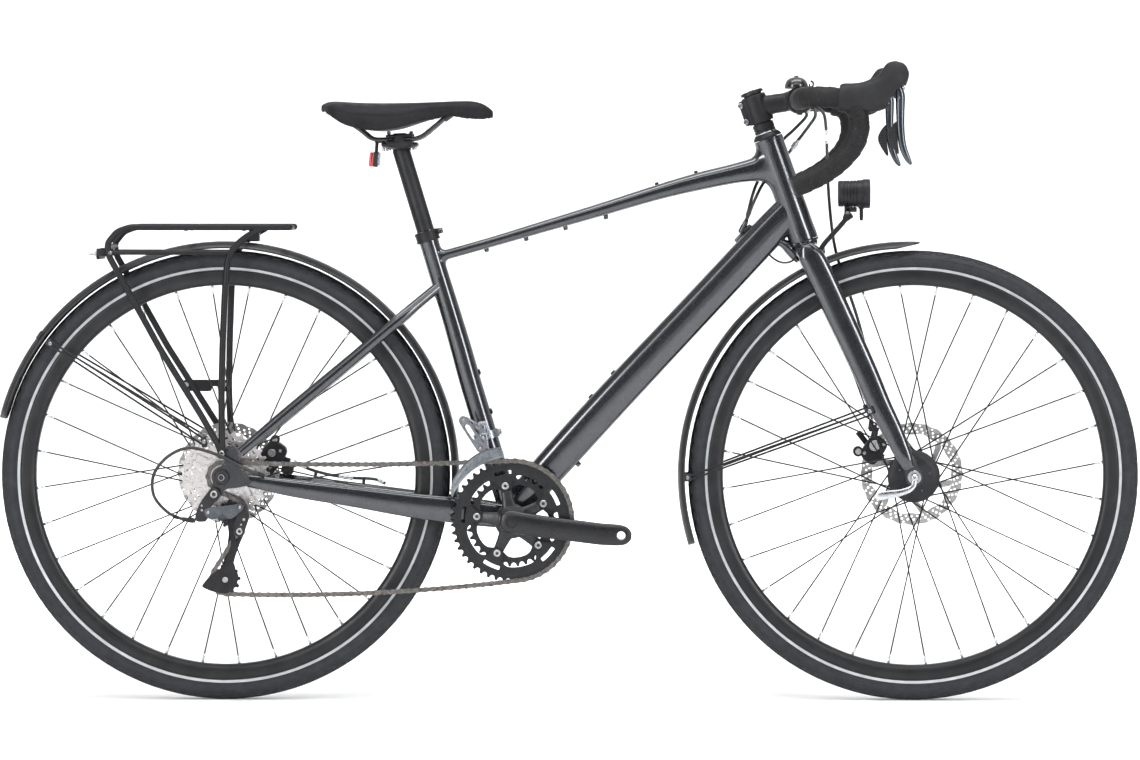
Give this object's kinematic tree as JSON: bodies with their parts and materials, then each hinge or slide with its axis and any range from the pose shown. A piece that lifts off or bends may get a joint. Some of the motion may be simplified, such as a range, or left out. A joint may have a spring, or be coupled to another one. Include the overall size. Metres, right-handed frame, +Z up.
{
  "type": "touring gravel bicycle",
  "caption": "Drop-bar touring gravel bicycle with disc brakes, long mudguards, rear rack and headlight; wheels, cranks, steering, levers and derailleurs move.",
  "frame": {"origin": "on the ground, midway between the ends of the bicycle, in its middle plane", "axes": "+X forwards, +Y to the rider's left, +Z up; the drive side is -Y"},
  "size_m": [1.7678, 0.4702, 0.9872],
  "materials": {
    "frame_paint": "glossy dark metallic paint",
    "black_anodised": "black anodised, satin",
    "black_powder_coat": "black powder coat",
    "black_plastic": "matte",
    "fender_plastic": "satin",
    "tyre_rubber": "matte with a light ring",
    "soft_rubber": "matte, textured",
    "saddle_cover": "synthetic, satin",
    "bar_tape": "wrapped tape, matte",
    "steel": "ground",
    "chain_steel": "oiled",
    "silver_alloy": "bright",
    "grey_alloy": "painted grey, satin",
    "lever_grey": "glossy",
    "red_reflector": "clear red",
    "cable_housing": "glossy"
  },
  "bodies": {
    "frame": {"frame": "frame_paint", "seat_clamp": "black_anodised", "bottom_bracket": "black_anodised", "rear_rack": "black_powder_coat", "rear_fender": "fender_plastic", "rd_body": "grey_alloy", "fd_body": "grey_alloy", "rear_caliper": "black_anodised", "chain": "chain_steel", "rear_brake_cable": "cable_housing", "rear_shift_cable": "cable_housing", "rear_axle": "black_anodised"},
    "seatpost": {"seatpost": "black_anodised", "saddle_base": "black_plastic", "saddle_cover": "saddle_cover", "rear_reflector": "red_reflector"},
    "fork": {"fork": "frame_paint", "stem": "black_anodised", "top_cap": "black_anodised", "headset_spacers": "black_anodised", "handlebar": "bar_tape", "hood_left": "soft_rubber", "hood_right": "soft_rubber", "headlight_bracket": "black_anodised", "front_fender": "fender_plastic", "front_caliper": "black_anodised", "front_axle": "silver_alloy", "bell": "black_anodised", "control_cables": "cable_housing", "front_brake_cable": "cable_housing", "dynamo_wire": "cable_housing"},
    "headlight": {"headlight": "black_plastic"},
    "bell_striker": {"bell_striker": "silver_alloy"},
    "brake_lever_left": {"brake_lever_left": "lever_grey"},
    "brake_lever_right": {"brake_lever_right": "lever_grey"},
    "shift_paddle_left": {"shift_paddle_left": "black_plastic"},
    "shift_paddle_right": {"shift_paddle_right": "black_plastic"},
    "front_qr_lever": {"front_qr_lever": "silver_alloy"},
    "rear_qr_lever": {"rear_qr_lever": "black_anodised"},
    "front_caliper_arm": {"front_caliper_arm": "black_anodised"},
    "rear_caliper_arm": {"rear_caliper_arm": "black_anodised"},
    "front_wheel": {"front_tyre": "tyre_rubber", "front_rim": "black_anodised", "front_hub": "black_anodised", "front_rotor": "steel"},
    "rear_wheel": {"rear_tyre": "tyre_rubber", "rear_rim": "black_anodised", "rear_hub": "black_anodised", "rear_rotor": "steel"},
    "cassette": {"cassette": "silver_alloy"},
    "crankset": {"crank_right": "black_anodised", "crank_left": "black_anodised", "chainring_large": "black_anodised", "chainring_small": "black_anodised"},
    "rd_link": {"rd_link": "grey_alloy"},
    "rd_knuckle": {"rd_knuckle": "grey_alloy"},
    "rd_cage": {"rd_cage": "grey_alloy"},
    "rd_upper_pulley": {"rd_upper_pulley": "black_plastic"},
    "rd_lower_pulley": {"rd_lower_pulley": "black_plastic"},
    "fd_cage": {"fd_cage": "grey_alloy"}
  },
  "joints": [
    {"name": "steering", "type": "hinge", "parent": "frame", "child": "fork", "pos_m": [0.3081, 0, 0.871], "axis": [-0.3338, 0, 0.9426], "range_deg": [-60, 60], "deforming": ["control_cables", "dynamo_wire"]},
    {"name": "seatpost_height", "type": "slide", "parent": "frame", "child": "seatpost", "axis": [-0.2899, 0, 0.9571], "range_m": [-0.1, 0.04]},
    {"name": "front_wheel_spin", "type": "hinge", "parent": "fork", "child": "front_wheel", "pos_m": [0.5333, 0, 0.349], "axis": [0, 1, 0], "continuous": true},
    {"name": "rear_wheel_spin", "type": "hinge", "parent": "frame", "child": "rear_wheel", "pos_m": [-0.5333, 0, 0.349], "axis": [0, 1, 0], "continuous": true},
    {"name": "crank_spin", "type": "hinge", "parent": "frame", "child": "crankset", "pos_m": [-0.087, 0, 0.2805], "axis": [0, 1, 0], "continuous": true, "deforming": ["chain"]},
    {"name": "cassette_spin", "type": "hinge", "parent": "frame", "child": "cassette", "pos_m": [-0.5333, -0.061, 0.349], "axis": [0, 1, 0], "continuous": true},
    {"name": "rd_shift", "type": "hinge", "parent": "frame", "child": "rd_link", "pos_m": [-0.552, -0.078, 0.296], "axis": [0.2119, 0.7846, 0.5827], "range_deg": [0, 66], "stiffness_Nm_per_rad": 0.4, "springref_deg": -28.65},
    {"name": "rd_knuckle_hinge", "type": "hinge", "parent": "rd_link", "child": "rd_knuckle", "pos_m": [-0.5075, -0.078, 0.302], "axis": [0.2119, 0.7846, 0.5827], "range_deg": [-66, 0]},
    {"name": "rd_cage_pivot", "type": "hinge", "parent": "rd_knuckle", "child": "rd_cage", "pos_m": [-0.5055, -0.07, 0.2662], "axis": [0, 1, 0], "range_deg": [-30, 30], "stiffness_Nm_per_rad": 0.4},
    {"name": "rd_upper_pulley_spin", "type": "hinge", "parent": "rd_cage", "child": "rd_upper_pulley", "pos_m": [-0.518, -0.061, 0.291], "axis": [0, 1, 0], "continuous": true},
    {"name": "rd_lower_pulley_spin", "type": "hinge", "parent": "rd_cage", "child": "rd_lower_pulley", "pos_m": [-0.529, -0.061, 0.1905], "axis": [0, 1, 0], "continuous": true},
    {"name": "fd_swing", "type": "hinge", "parent": "frame", "child": "fd_cage", "pos_m": [-0.134, -0.031, 0.427], "axis": [1, 0, 0], "range_deg": [0, 6]},
    {"name": "brake_lever_left_pull", "type": "hinge", "parent": "fork", "child": "brake_lever_left", "pos_m": [0.492, 0.206, 0.937], "axis": [0, 1, 0], "range_deg": [0, 22], "stiffness_Nm_per_rad": 0.8, "springref_deg": -28.65},
    {"name": "shift_paddle_left_push", "type": "hinge", "parent": "brake_lever_left", "child": "shift_paddle_left", "pos_m": [0.495, 0.204, 0.894], "axis": [-1, 0, 0], "range_deg": [0, 15], "stiffness_Nm_per_rad": 0.1, "springref_deg": -22.92},
    {"name": "brake_lever_right_pull", "type": "hinge", "parent": "fork", "child": "brake_lever_right", "pos_m": [0.492, -0.206, 0.937], "axis": [0, 1, 0], "range_deg": [0, 22], "stiffness_Nm_per_rad": 0.8, "springref_deg": -28.65},
    {"name": "shift_paddle_right_push", "type": "hinge", "parent": "brake_lever_right", "child": "shift_paddle_right", "pos_m": [0.495, -0.204, 0.894], "axis": [1, 0, 0], "range_deg": [0, 15], "stiffness_Nm_per_rad": 0.1, "springref_deg": -22.92},
    {"name": "front_qr_lever_flip", "type": "hinge", "parent": "fork", "child": "front_qr_lever", "pos_m": [0.5333, -0.0678, 0.349], "axis": [-0.4108, 0, 0.9117], "range_deg": [0, 150]},
    {"name": "rear_qr_lever_flip", "type": "hinge", "parent": "frame", "child": "rear_qr_lever", "pos_m": [-0.5333, 0.0938, 0.349], "axis": [-0.2402, 0, -0.9707], "range_deg": [0, 150]},
    {"name": "front_caliper_arm_pull", "type": "hinge", "parent": "fork", "child": "front_caliper_arm", "pos_m": [0.471, 0.065, 0.386], "axis": [0, 1, 0], "range_deg": [0, 17.6]},
    {"name": "rear_caliper_arm_pull", "type": "hinge", "parent": "frame", "child": "rear_caliper_arm", "pos_m": [-0.466, 0.069, 0.372], "axis": [0, 1, 0], "range_deg": [0, 17.6]},
    {"name": "headlight_tilt", "type": "hinge", "parent": "fork", "child": "headlight", "pos_m": [0.431, 0, 0.756], "axis": [0, 1, 0], "range_deg": [-15, 15]},
    {"name": "bell_striker_flick", "type": "hinge", "parent": "fork", "child": "bell_striker", "pos_m": [0.371, -0.052, 0.951], "axis": [0, 1, 0], "range_deg": [0, 20], "stiffness_Nm_per_rad": 0.02, "springref_deg": -22.92}
  ],
  "couplings": [
    {"joint": "cassette_spin", "follows": "crank_spin", "ratio": 4},
    {"joint": "rd_lower_pulley_spin", "follows": "crank_spin", "ratio": 4},
    {"joint": "rd_upper_pulley_spin", "follows": "crank_spin", "ratio": -4},
    {"joint": "rd_knuckle_hinge", "follows": "rd_shift", "ratio": -1},
    {"joint": "front_caliper_arm_pull", "follows": "brake_lever_left_pull", "ratio": 0.8},
    {"joint": "rear_caliper_arm_pull", "follows": "brake_lever_right_pull", "ratio": 0.8}
  ]
}
